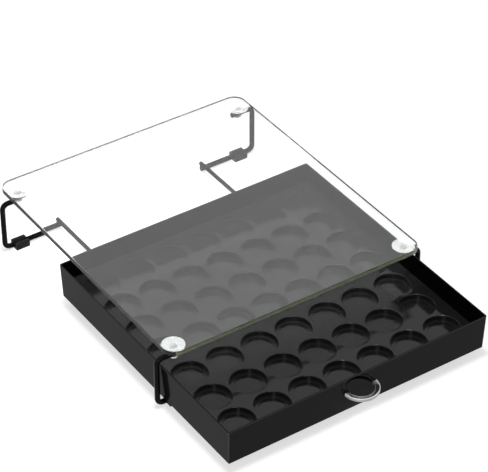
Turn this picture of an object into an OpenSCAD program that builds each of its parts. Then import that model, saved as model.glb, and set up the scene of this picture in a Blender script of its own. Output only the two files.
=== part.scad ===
// Glass-topped drawer for coffee pods.
// A sheet of toughened glass stands on two pairs of bent wire legs, held by clear
// suction cups. A moulded drawer runs beneath it on two wire rails and carries an
// insert with a grid of round wells, one for each pod, flange down.
//
// Frame: +Z up, +X to the right, the drawer opens towards -Y. The origin is on the
// surface that the stand rests on, at the middle of the whole outline.

/* [Drawer] */
// Width across the rim
drawer_w = 326; // [270:1:400]
// Depth across the rim, front to back
drawer_d = 327; // [270:1:400]
// Height from the lower edge to the rim
drawer_h = 42.6; // [36:0.2:60]
// Wall thickness
wall_t = 2; // [1.5:0.1:3]
// Floor thickness
floor_t = 2.2; // [1.5:0.1:3]
// Lean of the walls, in degrees from upright
draft = 2.6; // [1:0.1:4]
// Radius of the upright corners at the lower edge
corner_r = 0.6; // [0.3:0.1:4]
// Bevel along both edges of the rim
rim_bevel = 0.4; // [0.2:0.05:0.7]
// Height of the lip under the floor that hides the rails
base_lip_h = 0.7; // [0.5:0.1:1.5]
// Width of that lip
base_lip_w = 3; // [2:0.5:6]
// How far the drawer stands open
open_by = 108.2; // [0:1:200]

/* [Wells] */
// Distance from well to well
pitch = 43.4; // [42:0.1:56]
// Diameter of a well
well_d = 39.6; // [33:0.1:40]
// Depth of a well, from the plate down to the flange seat
well_depth = 6; // [4:0.5:9]
// Rounding of a well's mouth
mouth_r = 0.8; // [0.3:0.1:1.2]
// Width of the ring that the flange rests on
seat_w = 4.6; // [3:0.1:7]
// Hollow under the pod's foil, below the seat
foil_gap = 1.2; // [0.5:0.1:2]
// Distance from the rim down to the plate
plate_drop = 23; // [18:0.5:26]
// Moulded thickness of the insert
insert_t = 1.8; // [1.2:0.1:2.4]
// Least width of plate outside the wells
plate_margin = 3; // [2:0.5:8]
// Diameter of the posts that carry the plate
post_d = 6; // [4:0.5:8]
// Clearance between the insert and the drawer's walls
insert_gap = 0.4; // [0.2:0.1:1]

/* [Handle] */
// Outer diameter of the half ring
handle_d = 40; // [34:0.5:50]
// Width of the ring
handle_w = 5.2; // [4:0.1:7]
// Thickness of the ring
handle_t = 4; // [3:0.1:5]
// Edge bevel of the ring
handle_bevel = 0.7; // [0.2:0.1:1]
// Rise from the plate of wells to the middle of the handle
handle_rise = 2.7; // [2.6:0.1:8]
// Diameter of the fixing screws
screw_d = 2.4; // [2:0.1:3]
// Clearance round a screw where it passes through the drawer's wall
screw_gap = 0.2; // [0.1:0.05:0.4]
// Diameter of the screws' heads
screw_head_d = 4.4; // [3.6:0.1:5]
// Height of the screws' heads
screw_head_h = 1.5; // [1:0.1:2.5]
// Bevel round a screw's head and its tip
screw_bevel = 0.5; // [0.2:0.1:0.8]
// Length of screw inside the handle
screw_bite = 6; // [4:0.5:8]

/* [Glass] */
// Thickness of the glass
glass_t = 6; // [4:0.5:8]
// Radius of its corners
glass_r = 15; // [8:1:30]
// Ground bevel along its edges
glass_bevel = 0.7; // [0.3:0.1:1.5]
// How far the glass's sides stand in from the drawer's rim
glass_side_inset = 2.5; // [0:0.5:10]
// How far the glass reaches past the back of the closed drawer
glass_overhang = 28; // [10:1:60]

/* [Wire stand] */
// Diameter of the leg wire
leg_d = 6; // [4:0.1:7]
// Diameter of the rail wire
rail_d = 4.8; // [4:0.1:7]
// Bend radius of the legs, at the wire's axis
bend_r = 7; // [5:0.5:10]
// Bevel round the wires' cut ends
wire_bevel = 0.4; // [0.2:0.1:0.8]
// Clearance between the drawer's rim and a leg
leg_gap = 1; // [1:0.1:4]
// Distance from the glass's front edge back to the front legs
leg_front_inset = 16.5; // [14:0.5:30]
// Distance from the glass's back edge forward to the rear legs
leg_rear_inset = 20.5; // [14:0.5:30]
// Clearance between the rim and the wires above it
arm_gap = 5.9; // [5:0.1:15]
// Distance from the drawer's side in to a rail
rail_inset = 66; // [40:1:100]
// Length of rail behind the rear legs
rail_tail = 4; // [4:0.5:17]
// Depth that a weld sinks one wire into another
weld_sink = 0.2; // [0.1:0.1:0.5]
// Clearance between the rails and the drawer's floor
run_gap = 0.1; // [0.05:0.05:0.3]
// Gap between the rails' front ends and the drawer's front lip when it is shut
stop_gap = 0.3; // [0.1:0.1:1]
// Width of the notch in the back lip for a rail
notch_w = 9; // [7:0.5:14]

/* [Suction cups] */
// Diameter of a cup
cup_d = 25; // [20:0.5:26]
// Distance from the glass's side edge in to the middle of a cup
cup_inset = 14; // [13:0.5:20]
// Rise from the wire's axis to the underside of the glass
cup_rise = 8.6; // [8:0.1:12]
// Thickness of the cup at its rim
cup_rim_t = 0.9; // [0.6:0.1:1.5]
// Width of the flat lip that seals against the glass
cup_lip_w = 1; // [0.5:0.1:2]
// Depth of the hollow under the glass
cup_hollow = 1.5; // [0.5:0.1:2]
// Diameter of the knob that the wire goes through
knob_d = 11; // [10:0.5:14]
// Height of the knob
knob_h = 10; // [9:0.5:12]
// Rounding of the knob's edges
knob_round = 1.5; // [0.5:0.1:2.5]
// Diameter of the neck above the knob
neck_d = 8; // [6:0.5:9]
// Height of that neck
neck_h = 0.6; // [0.2:0.1:1]
// Length of wire past the middle of the cup
arm_tail = 8.5; // [7:0.5:10]

/* [Feet] */
// Length of a foot along the wire
foot_l = 17; // [12:1:21]
// Width of a foot
foot_w = 14; // [10:0.5:18]
// Height of a foot
foot_h = 8.2; // [7:0.1:11]
// Rubber under the wire
foot_under = 2.1; // [2:0.1:4]
// Distance from the leg in to a foot
foot_inset = 11; // [9:0.5:14]
// Opening between the two lips of a foot
foot_slot = 5; // [3.4:0.1:5.8]
// Bevel along a foot's edges
foot_bevel = 0.8; // [0.3:0.1:1.5]
// Squeeze of the rubber feet and cups on the wire, on the radius
grip = 0.05; // [0.02:0.01:0.1]

/* [Hidden] */

$fn = 64;
eps = 0.01;           // overlap of shapes that are joined
past = 1;             // how far a cutter runs out past a face
lean = tan(draft);    // outward step of a drafted wall for each unit of height

// Heights, from the surface that the feet stand on
low_z = foot_under + leg_d / 2;
rail_z = low_z + leg_d / 2 + rail_d / 2 - weld_sink;
tray_z = rail_z + rail_d / 2 + run_gap - base_lip_h;
rim_z = tray_z + drawer_h;
arm_z = rim_z + arm_gap + leg_d / 2;
glass_z = arm_z + cup_rise;

// Plan sizes
glass_w = drawer_w - 2 * glass_side_inset;
glass_d = drawer_d + glass_overhang;
leg_x = drawer_w / 2 + leg_gap + leg_d / 2;
cup_x = glass_w / 2 - cup_inset;
rail_x = drawer_w / 2 - rail_inset;
screw_x = (handle_d - handle_w) / 2;    // the screws stand in the middle of the ring's two ends

// The drawer's front face leans back by this much at the middle of the handle
handle_drop = plate_drop - handle_rise;
handle_z = rim_z - handle_drop;
face_back = lean * handle_drop;

// Places along Y. The origin is midway between the handle's tip and the glass's back edge.
length_all = handle_d / 2 - face_back + open_by + glass_d;
front_y = -length_all / 2 + handle_d / 2 - face_back;
glass_y = front_y + open_by;
leg_front_y = glass_y + leg_front_inset;
leg_rear_y = glass_y + glass_d - leg_rear_inset;
rail_front_y = glass_y + lean * drawer_h + base_lip_w + stop_gap;
rail_rear_y = leg_rear_y + rail_tail;
drawer_y = front_y + drawer_d / 2;

// Heights inside the drawer
floor_z = tray_z + base_lip_h + floor_t;
plate_z = rim_z - plate_drop;
seat_z = plate_z - well_depth;
cell_z = seat_z - foil_gap - insert_t;

// Insert outline, at the level of the plate
insert_w = drawer_w - 2 * wall_t - 2 * lean * plate_drop - 2 * insert_gap;
insert_d = drawer_d - 2 * wall_t - 2 * lean * plate_drop - 2 * insert_gap;
insert_h = plate_z - floor_z;

// As many wells as the plate holds
function wells_along(length) = 1 + floor((length - 2 * plate_margin - well_d) / pitch);
cols = wells_along(insert_w);
rows = wells_along(insert_d);
function step(i, n) = (i - (n - 1) / 2) * pitch;

// Cored pockets between the wells, each as large as full walls round it allow.
// cell_r is a well's radius with its wall, and skirt_reach the distance from the axis
// of an outer well to the inner face of the skirt.
cell_r = well_d / 2 + insert_t;
function skirt_reach(length, n) = (length - (n - 1) * pitch) / 2 - insert_t - lean * insert_h;
reach_x = skirt_reach(insert_w, cols);
reach_y = skirt_reach(insert_d, rows);
inner_pocket_r = pitch / sqrt(2) - cell_r;

// Radius that touches two neighbouring wells and the skirt
function edge_pocket_r(reach) =
    (pitch * pitch / 4 + reach * reach - cell_r * cell_r) / (2 * (reach + cell_r));

// Radius that touches a corner well and both sides of the skirt
reach_sum = reach_x + reach_y + cell_r;
corner_pocket_r = reach_sum
    - sqrt(reach_sum * reach_sum - reach_x * reach_x - reach_y * reach_y + cell_r * cell_r);

// ---- Shared shapes -------------------------------------------------------

// Side of a drafted block: [reach from the corner axis, height], from the bottom up.
// A positive edge bevels the top inwards, a negative one flares it outwards.
function drafted_side(r, h, edge) = [
    [r, 0],
    [r + lean * (h - abs(edge)), h - abs(edge)],
    [r + lean * h - edge, h]
];

// Mirror image of a side, listed from the top down
function other_side(side, axis) = [
    for (i = [len(side) - 1:-1:0]) [-axis - side[i][0], side[i][1]]
];

// A block with four rounded corners whose sides follow one outline.
// axis_x and axis_y are the places of the corner axes.
module rounded_block(axis_x, axis_y, side) {
    bottom = side[0][1];
    top = side[len(side) - 1][1];
    core = min([for (p = side) p[0]]) / 2;    // square post inside each corner, shared with the sides
    for (mx = [0, 1], my = [0, 1])
        mirror([mx, 0, 0]) mirror([0, my, 0]) translate([axis_x, axis_y, 0]) {
            rotate_extrude(angle = 90) polygon(concat([[0, bottom]], side, [[0, top]]));
            translate([-core, -core, bottom]) cube([2 * core, 2 * core, top - bottom]);
        }
    rotate([90, 0, 0]) linear_extrude(2 * axis_y, center = true)
        polygon(concat([for (p = side) [axis_x + p[0], p[1]]], other_side(side, axis_x)));
    rotate([90, 0, 90]) linear_extrude(2 * axis_x, center = true)
        polygon(concat([for (p = side) [axis_y + p[0], p[1]]], other_side(side, axis_y)));
}

// A block with drafted sides. w and d are its size at the top, before the edge.
// above adds an upright stretch on top, for cutters.
module drafted_block(w, d, h, r, edge = 0, above = 0) {
    reach = r + lean * h;
    side = drafted_side(r, h, edge);
    stretch = above > 0 ? [[reach - edge, h + above]] : [];
    rounded_block(w / 2 - reach, d / 2 - reach, concat(side, stretch));
}

// Straight round wire along Z. Its end at zero is cut and bevelled, and so is the
// other one unless it runs on into a bend.
module wire(d, length, runs_on = false) {
    far_end = runs_on
        ? [[d / 2, length]]
        : [[d / 2, length - wire_bevel], [d / 2 - wire_bevel, length]];
    rotate_extrude()
        polygon(concat([[0, 0], [d / 2 - wire_bevel, 0], [d / 2, wire_bevel]], far_end, [[0, length]]));
}

// Places of the wells
module for_wells() {
    for (i = [0:cols - 1], j = [0:rows - 1])
        translate([step(i, cols), drawer_y + step(j, rows), 0]) children();
}

// Places midway between four wells. With posts set, only those that carry a post:
// every other one in from each side.
module for_gaps(posts = false) {
    for (i = [1:cols - 1], j = [1:rows - 1])
        if (!posts || (min(i, cols - i) % 2 == 1 && min(j, rows - j) % 2 == 1))
            translate([step(i - 0.5, cols), drawer_y + step(j - 0.5, rows), 0]) children();
}

// ---- Stand ---------------------------------------------------------------

module glass_top() {
    side = [
        [glass_r - glass_bevel, 0], [glass_r, glass_bevel],
        [glass_r, glass_t - glass_bevel], [glass_r - glass_bevel, glass_t]
    ];
    color([0.78, 0.86, 0.82, 0.4])
        translate([0, glass_y + glass_d / 2, glass_z])
            rounded_block(glass_w / 2 - glass_r, glass_d / 2 - glass_r, side);
}

// Half section of a cup, with the wire's axis at zero
module cup_section() {
    cup_r = cup_d / 2;
    knob_r = knob_d / 2;
    neck_r = neck_d / 2;
    hollow_edge = cup_r - cup_lip_w;
    // radius of the hollow's arc, from its chord and its depth
    hollow_r = (hollow_edge * hollow_edge + cup_hollow * cup_hollow) / (2 * cup_hollow);
    skirt_z = cup_rise - cup_rim_t;
    difference() {
        union() {
            translate([0, -knob_h / 2]) square([knob_r - knob_round, knob_h]);
            translate([0, -knob_h / 2 + knob_round]) square([knob_r, knob_h - 2 * knob_round]);
            for (z = [-1, 1])
                translate([knob_r - knob_round, z * (knob_h / 2 - knob_round)])
                    circle(knob_round, $fn = 32);
            polygon([
                [0, 0], [neck_r, 0], [neck_r, knob_h / 2 + neck_h],
                [cup_r, skirt_z], [cup_r, cup_rise], [0, cup_rise]
            ]);
        }
        translate([0, cup_rise - cup_hollow + hollow_r]) circle(hollow_r, $fn = 360);
        translate([-cup_d, -cup_d]) square([cup_d, 3 * cup_d]);
    }
}

// side is -1 on the left and 1 on the right
module cup(side, y) {
    color([0.9, 0.92, 0.93, 0.5])
        translate([side * cup_x, y, arm_z])
            difference() {
                rotate_extrude() cup_section();
                rotate([0, 90, 0]) cylinder(h = 2 * knob_d, r = leg_d / 2 - grip, center = true);
            }
}

module cup_front_left() { cup(-1, leg_front_y); }
module cup_front_right() { cup(1, leg_front_y); }
module cup_rear_left() { cup(-1, leg_rear_y); }
module cup_rear_right() { cup(1, leg_rear_y); }

// A quarter bend in the XZ plane, from pointing along +X to pointing down
module wire_bend() {
    rotate([90, 0, 0]) rotate_extrude(angle = 90)
        translate([bend_r, 0]) circle(leg_d / 2, $fn = 48);
}

// One leg: an arm through the cup, down past the drawer's side, and in along the
// ground to its rail
module leg(side, y) {
    turn_x = leg_x - bend_r;
    arm_l = turn_x - (cup_x - arm_tail);
    ground_l = turn_x - (rail_x - rail_d / 2);
    color([0.07, 0.07, 0.07])
        translate([0, y, 0]) mirror([side < 0 ? 1 : 0, 0, 0]) {
            translate([turn_x - arm_l, 0, arm_z]) rotate([0, 90, 0]) wire(leg_d, arm_l, true);
            translate([turn_x, 0, arm_z - bend_r]) wire_bend();
            translate([leg_x, 0, low_z + bend_r])
                cylinder(h = arm_z - low_z - 2 * bend_r, d = leg_d);
            translate([turn_x, 0, low_z + bend_r]) mirror([0, 0, 1]) wire_bend();
            translate([turn_x - ground_l, 0, low_z]) rotate([0, 90, 0])
                wire(leg_d, ground_l, true);
        }
}

module leg_front_left() { leg(-1, leg_front_y); }
module leg_front_right() { leg(1, leg_front_y); }
module leg_rear_left() { leg(-1, leg_rear_y); }
module leg_rear_right() { leg(1, leg_rear_y); }

// A rail lies on the ground runs of a front and a rear leg
module rail(side) {
    color([0.07, 0.07, 0.07])
        translate([side * rail_x, rail_front_y, rail_z])
            rotate([-90, 0, 0]) wire(rail_d, rail_rear_y - rail_front_y);
}

module rail_left() { rail(-1); }
module rail_right() { rail(1); }

// Section across a foot: a channel that snaps up round the wire
module foot_section() {
    half = foot_w / 2;
    difference() {
        polygon([
            [-half + foot_bevel, 0], [half - foot_bevel, 0], [half, foot_bevel],
            [half, foot_h - foot_bevel], [half - foot_bevel, foot_h],
            [-half + foot_bevel, foot_h], [-half, foot_h - foot_bevel], [-half, foot_bevel]
        ]);
        translate([0, low_z]) circle(leg_d / 2 - grip);
        translate([-foot_slot / 2, low_z]) square([foot_slot, foot_h]);
    }
}

module foot(side, y) {
    color([0.1, 0.1, 0.1])
        mirror([side < 0 ? 1 : 0, 0, 0]) translate([leg_x - foot_inset - foot_l, y, 0])
            rotate([90, 0, 90]) linear_extrude(foot_l) foot_section();
}

module foot_front_left() { foot(-1, leg_front_y); }
module foot_front_right() { foot(1, leg_front_y); }
module foot_rear_left() { foot(-1, leg_rear_y); }
module foot_rear_right() { foot(1, leg_rear_y); }

// ---- Drawer --------------------------------------------------------------

module drawer_tray() {
    cavity_h = drawer_h - base_lip_h - floor_t;
    recess_w = drawer_w - 2 * lean * drawer_h - 2 * base_lip_w;
    recess_d = drawer_d - 2 * lean * drawer_h - 2 * base_lip_w;
    color([0.13, 0.13, 0.13])
        difference() {
            translate([0, drawer_y, tray_z])
                drafted_block(drawer_w, drawer_d, drawer_h, corner_r, rim_bevel);
            translate([0, drawer_y, floor_z])
                drafted_block(drawer_w - 2 * wall_t, drawer_d - 2 * wall_t, cavity_h,
                              corner_r, -rim_bevel, past);
            translate([-recess_w / 2, drawer_y - recess_d / 2, tray_z - past])
                cube([recess_w, recess_d, base_lip_h + past]);
            for (side = [-1, 1]) {
                translate([side * rail_x - notch_w / 2, drawer_y, tray_z - past])
                    cube([notch_w, drawer_d, base_lip_h + past]);
                translate([side * screw_x, front_y - past, handle_z]) rotate([-90, 0, 0])
                    cylinder(h = wall_t + face_back + 2 * past, d = screw_d + 2 * screw_gap);
            }
        }
}

// Solid of revolution that cuts one well, with the flange seat at zero
module well_cutter() {
    well_r = well_d / 2;
    roll = 0.96;      // share of the mouth's rounding that is used, so it meets the plate at a slope
    rotate_extrude() {
        square([well_r, well_depth + past]);
        translate([0, -foil_gap]) square([well_r - seat_w, foil_gap + eps]);
        translate([well_r - eps, well_depth - roll * mouth_r])
            difference() {
                square([mouth_r + eps, roll * mouth_r + past]);
                translate([mouth_r + eps, 0]) circle(mouth_r, $fn = 32);
            }
    }
}

// Cutters for the pockets under the plate
module pocket_cutters(h) {
    for_gaps() cylinder(h = h, r = inner_pocket_r);
    side_r = edge_pocket_r(reach_x);
    end_r = edge_pocket_r(reach_y);
    for (mx = [-1, 1], j = [1:rows - 1])
        translate([mx * (step(0, cols) - reach_x + side_r), drawer_y + step(j - 0.5, rows), 0])
            cylinder(h = h, r = side_r);
    for (my = [-1, 1], i = [1:cols - 1])
        translate([step(i - 0.5, cols), drawer_y + my * (step(0, rows) - reach_y + end_r), 0])
            cylinder(h = h, r = end_r);
    for (mx = [-1, 1], my = [-1, 1])
        translate([mx * (step(0, cols) - reach_x + corner_pocket_r),
                   drawer_y + my * (step(0, rows) - reach_y + corner_pocket_r), 0])
            cylinder(h = h, r = corner_pocket_r);
}

// The insert is a shell: a skirt round it, a plate with hanging wells, and posts
// from the plate to the drawer's floor
module pod_insert() {
    hollow_h = cell_z - floor_z;
    hollow_in = 2 * (insert_t + lean * (plate_z - cell_z));
    color([0.1, 0.1, 0.1]) {
        difference() {
            translate([0, drawer_y, floor_z])
                drafted_block(insert_w, insert_d, insert_h, corner_r + insert_gap);
            translate([0, drawer_y, floor_z])
                drafted_block(insert_w - hollow_in, insert_d - hollow_in, hollow_h, corner_r);
            for_wells() translate([0, 0, seat_z]) well_cutter();
            translate([0, 0, floor_z]) pocket_cutters(insert_h - insert_t);
        }
        for_gaps(posts = true) translate([0, 0, floor_z])
            cylinder(h = insert_h - insert_t / 2, d = post_d);
    }
}

// Section of the handle's ring, at its radius
module handle_section() {
    half = handle_t / 2;
    outer = handle_d / 2;
    inner = outer - handle_w;
    polygon([
        [inner + handle_bevel, -half], [outer - handle_bevel, -half], [outer, -half + handle_bevel],
        [outer, half - handle_bevel], [outer - handle_bevel, half], [inner + handle_bevel, half],
        [inner, half - handle_bevel], [inner, -half + handle_bevel]
    ]);
}

// Half ring whose ends run on into the leaning face and are cut flush with it
module handle() {
    color([0.92, 0.94, 0.95, 0.5])
        difference() {
            translate([0, front_y + face_back, handle_z]) {
                rotate([0, 0, 180]) rotate_extrude(angle = 180) handle_section();
                for (mx = [0, 1]) mirror([mx, 0, 0])
                    rotate([-90, 0, 0]) linear_extrude(past) handle_section();
            }
            translate([0, drawer_y, tray_z])
                drafted_block(drawer_w, drawer_d, drawer_h, corner_r);
            for (side = [-1, 1])
                translate([side * screw_x, front_y + face_back - screw_bite, handle_z])
                    rotate([-90, 0, 0])
                        cylinder(h = screw_bite + 2 * past, r = screw_d / 2 - grip);
        }
}

// Pan-head screw. Its head bears on the inside of the drawer's front wall, which
// leans, so the head's lower edge meets it first.
module handle_screw(side) {
    shank_r = screw_d / 2;
    head_r = screw_head_d / 2;
    tip_y = front_y + face_back - screw_bite;
    shank_l = front_y + wall_t + lean * (handle_drop + head_r) - tip_y;
    all_l = shank_l + screw_head_h;
    color([0.75, 0.75, 0.77])
        translate([side * screw_x, tip_y, handle_z]) rotate([-90, 0, 0])
            rotate_extrude() polygon([
                [0, 0], [shank_r - screw_bevel, 0], [shank_r, screw_bevel], [shank_r, shank_l],
                [head_r, shank_l], [head_r, all_l - screw_bevel], [head_r - screw_bevel, all_l],
                [0, all_l]
            ]);
}

module handle_screw_left() { handle_screw(-1); }
module handle_screw_right() { handle_screw(1); }

glass_top();
cup_front_left();
cup_front_right();
cup_rear_left();
cup_rear_right();
leg_front_left();
leg_front_right();
leg_rear_left();
leg_rear_right();
rail_left();
rail_right();
foot_front_left();
foot_front_right();
foot_rear_left();
foot_rear_right();
drawer_tray();
pod_insert();
handle();
handle_screw_left();
handle_screw_right();
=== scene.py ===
"""Looks of a coffee pod drawer: a glass-topped wire stand with a moulded drawer.

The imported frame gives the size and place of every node. Each sub-assembly below
reads its own nodes' corners, builds the meshes that need more form than the frame
has, and dresses them and the nodes that stay.
"""

from __future__ import annotations

import logging
import math
from abc import ABC, abstractmethod
from dataclasses import dataclass
from enum import Enum, IntEnum
from typing import Iterable, Mapping, Sequence, TypeVar

import bmesh
import bpy
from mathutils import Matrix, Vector

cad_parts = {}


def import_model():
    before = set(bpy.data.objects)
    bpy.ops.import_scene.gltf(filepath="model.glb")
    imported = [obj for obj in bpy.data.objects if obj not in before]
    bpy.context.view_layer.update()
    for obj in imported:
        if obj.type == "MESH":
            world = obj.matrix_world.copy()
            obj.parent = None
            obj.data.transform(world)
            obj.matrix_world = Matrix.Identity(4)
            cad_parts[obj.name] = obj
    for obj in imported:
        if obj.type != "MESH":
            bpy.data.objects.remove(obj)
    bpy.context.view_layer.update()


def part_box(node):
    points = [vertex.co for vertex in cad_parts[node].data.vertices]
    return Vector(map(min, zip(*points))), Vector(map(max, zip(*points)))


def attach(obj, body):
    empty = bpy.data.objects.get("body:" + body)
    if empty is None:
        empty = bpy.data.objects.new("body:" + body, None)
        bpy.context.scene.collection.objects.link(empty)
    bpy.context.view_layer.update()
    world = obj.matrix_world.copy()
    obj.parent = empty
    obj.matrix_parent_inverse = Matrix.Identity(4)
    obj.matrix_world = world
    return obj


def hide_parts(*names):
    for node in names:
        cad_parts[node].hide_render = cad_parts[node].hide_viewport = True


LOG = logging.getLogger("pod_drawer")

MM = 0.001
"""Metres in a millimetre. Sizes below are in millimetres unless they say otherwise."""

NEARLY_NONE = 1e-6
"""A length that counts as none."""

ARC_ROOM = 0.49
"""The share of the shorter side beside a corner that the corner's arc may take."""

Point = tuple[float, float]
Corner = tuple[float, float, float]
Colour = tuple[float, float, float]
Triple = tuple[float, float, float]
Form = bmesh.types.BMesh
Face = bmesh.types.BMFace
Object = bpy.types.Object
Material = bpy.types.Material
Node = bpy.types.Node
Socket = bpy.types.NodeSocket
Inputs = Mapping[str | int, object]
Part = TypeVar("Part", bound=IntEnum)

WHITE: Colour = (1, 1, 1)


class Side(Enum):
    """Left or right of the drawer, by the sign of X."""

    LEFT = -1
    RIGHT = 1

    @property
    def word(self) -> str:
        """The word used in node names."""
        return self.name.lower()


class Row(Enum):
    """Front or rear pair of legs."""

    FRONT = "front"
    REAR = "rear"


CORNERS = [(row, side) for row in Row for side in Side]
"""The stand's corners."""


def at_corner(piece: str, row: Row, side: Side) -> str:
    """The name of a piece at one of the stand's corners."""
    return f"{piece}_{row.value}_{side.word}"


# ---- Outlines and meshes -------------------------------------------------------


def turned(x: float, y: float, turn: float) -> Point:
    """A flat point turned round the origin by an angle in radians."""
    cos, sin = math.cos(turn), math.sin(turn)
    return x * cos - y * sin, x * sin + y * cos


def rectangle(low: Point, high: Point, radius: float = 0) -> list[Corner]:
    """The corners of a rectangle in order, each with the radius of its arc."""
    order = ((low[0], low[1]), (high[0], low[1]), (high[0], high[1]), (low[0], high[1]))
    return [(x, y, radius) for x, y in order]


def fillet(corners: Sequence[Corner], steps: int, closed: bool = True) -> list[Point]:
    """Round the corners of an outline with arcs.

    Args:
        corners: Corner points in order, each with the radius of its arc, or 0.
        steps: Stretches in each arc.
        closed: Whether the last corner joins the first.

    Returns:
        The points of the rounded outline.
    """
    points: list[Point] = []
    count = len(corners)
    for i, (x, y, radius) in enumerate(corners):
        at_end = not closed and i in (0, count - 1)
        if radius <= 0 or at_end:
            points.append((x, y))
            continue
        here = Vector((x, y))
        before = Vector(corners[i - 1][:2]) - here
        after = Vector(corners[(i + 1) % count][:2]) - here
        room = ARC_ROOM * min(before.length, after.length)
        before.normalize()
        after.normalize()
        half = before.angle(after) / 2
        reach = min(radius / math.tan(half), room)
        centre = here + (before + after).normalized() * (reach / math.cos(half))
        start = here + before * reach - centre
        sweep = start.angle_signed(here + after * reach - centre)
        for k in range(steps + 1):
            spoke = Vector(turned(start.x, start.y, -sweep * k / steps))
            points.append(tuple(centre + spoke))
    return points


def as_object(name: str, form: Form) -> Object:
    """Turn a finished bmesh into a smooth-shaded object at the origin.

    Args:
        name: The object's name.
        form: The bmesh, which is freed.

    Returns:
        The new object.
    """
    bmesh.ops.recalc_face_normals(form, faces=form.faces)
    for face in form.faces:
        face.smooth = True
    mesh = bpy.data.meshes.new(name)
    form.to_mesh(mesh)
    form.free()
    made = bpy.data.objects.new(name, mesh)
    bpy.context.scene.collection.objects.link(made)
    return made


def loft(form: Form, loops: Sequence[Sequence[Vector]]) -> list[Face]:
    """Join loops of points, each of the same count, and close both ends.

    Args:
        form: The bmesh that takes the faces.
        loops: The loops, in order.

    Returns:
        The faces between the loops, without the two ends.
    """
    rings = [[form.verts.new(point) for point in loop] for loop in loops]
    skin = []
    for low, high in zip(rings, rings[1:]):
        for k in range(len(low)):
            after = (k + 1) % len(low)
            skin.append(form.faces.new((low[k], low[after], high[after], high[k])))
    for end in (rings[0], rings[-1]):
        form.faces.new(end)
    return skin


def lathe(name: str, outline: Sequence[Point], centre: Vector, spokes: int) -> Object:
    """Turn an outline round an upright axis.

    Args:
        name: The object's name.
        outline: Points as (radius, height) in millimetres, from axis to axis.
        centre: The axis's foot, in metres.
        spokes: Steps round the axis.

    Returns:
        The turned object.
    """
    form = bmesh.new()
    rings: list[list[bmesh.types.BMVert]] = []
    for radius, height in outline:
        turns = 1 if radius < NEARLY_NONE else spokes
        ring = []
        for k in range(turns):
            turn = math.tau * k / spokes
            spoke = Vector((math.cos(turn), math.sin(turn), 0)) * radius
            ring.append(form.verts.new(centre + (spoke + Vector((0, 0, height))) * MM))
        rings.append(ring)
    for low, high in zip(rings, rings[1:]):
        for k in range(spokes):
            after = (k + 1) % spokes
            corners = [low[k % len(low)], low[after % len(low)]]
            corners += [high[after % len(high)], high[k % len(high)]]
            form.faces.new(list(dict.fromkeys(corners)))
    return as_object(name, form)


def bore(target: Object, cutter: Object) -> None:
    """Cut one object out of another, and remove the cutter.

    Args:
        target: The object that is cut.
        cutter: The closed object that is taken away.
    """
    cut = target.modifiers.new("bore", "BOOLEAN")
    cut.operation = "DIFFERENCE"
    cut.object = cutter
    cut.solver = "EXACT"
    bake(target)
    bpy.data.objects.remove(cutter)


def bake(target: Object) -> None:
    """Put an object's modifiers into its mesh.

    Args:
        target: The object, which loses its modifiers.
    """
    view = bpy.context.evaluated_depsgraph_get()
    mesh = bpy.data.meshes.new_from_object(target.evaluated_get(view))
    target.modifiers.clear()
    target.data = mesh


def keep_creases(target: Object, degrees: float = 32) -> None:
    """Shade smooth across gentle bends and sharp across others, and keep flats flat.

    Args:
        target: The object that is shaded.
        degrees: The least bend that stays sharp.
    """
    limit = math.radians(degrees)
    form = bmesh.new()
    form.from_mesh(target.data)
    for face in form.faces:
        face.smooth = True
    for edge in form.edges:
        edge.smooth = len(edge.link_faces) == 2 and edge.calc_face_angle(0) < limit
    form.to_mesh(target.data)
    form.free()
    even = target.modifiers.new("even", "WEIGHTED_NORMAL")
    even.keep_sharp = True


def middle(node: str) -> Vector:
    """The middle of a node's box, in metres."""
    low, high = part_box(node)
    return (low + high) / 2


# ---- Finishes -------------------------------------------------------------------


class NodeGraph:
    """Nodes of one tree, added and linked by short calls."""

    def __init__(self, tree: bpy.types.NodeTree) -> None:
        """Take over a tree."""
        self.tree = tree

    def feed(self, socket: Socket, value: object) -> None:
        """Link an input to an output, or set it.

        Args:
            socket: The input.
            value: The output, or a number, three numbers or a colour.
        """
        if isinstance(value, bpy.types.NodeSocket):
            self.tree.links.new(value, socket)
        else:
            socket.default_value = (*value, 1) if socket.type == "RGBA" else value

    def node(self, kind: str, inputs: Inputs | None = None, **settings: object) -> Node:
        """Add a node.

        Args:
            kind: Its type.
            inputs: What its inputs are fed with, by name or number.
            **settings: Its properties by name.

        Returns:
            The new node.
        """
        made = self.tree.nodes.new(kind)
        for name, value in settings.items():
            setattr(made, name, value)
        for key, value in (inputs or {}).items():
            self.feed(made.inputs[key], value)
        return made

    def spread(
        self,
        value: Socket,
        low: float,
        high: float | Socket,
        start: float = 0.3,
        end: float = 0.7,
    ) -> Socket:
        """Map a value from one range to another, held at both ends.

        Args:
            value: The value.
            low: What it becomes where it is at the start or below.
            high: What it becomes where it is at the end or above.
            start: The start of its own range.
            end: The end of its own range.

        Returns:
            The mapped value.
        """
        own = {"Value": value, "From Min": start, "From Max": end}
        inputs = {**own, "To Min": low, "To Max": high}
        return self.node("ShaderNodeMapRange", inputs).outputs["Result"]

    def seen(self) -> Socket:
        """Tell rays that show the backdrop from those that only light the object.

        Returns:
            1 on straight and mirrored rays and on those through glass, and 0 on others.
        """
        rays = self.node("ShaderNodeLightPath").outputs
        inputs = {0: rays["Is Camera Ray"], 1: rays["Is Glossy Ray"]}
        either = self.node("ShaderNodeMath", inputs, operation="ADD")
        inputs = {0: either.outputs["Value"], 1: rays["Is Transmission Ray"]}
        total = self.node("ShaderNodeMath", inputs, operation="ADD", use_clamp=True)
        return total.outputs["Value"]


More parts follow.
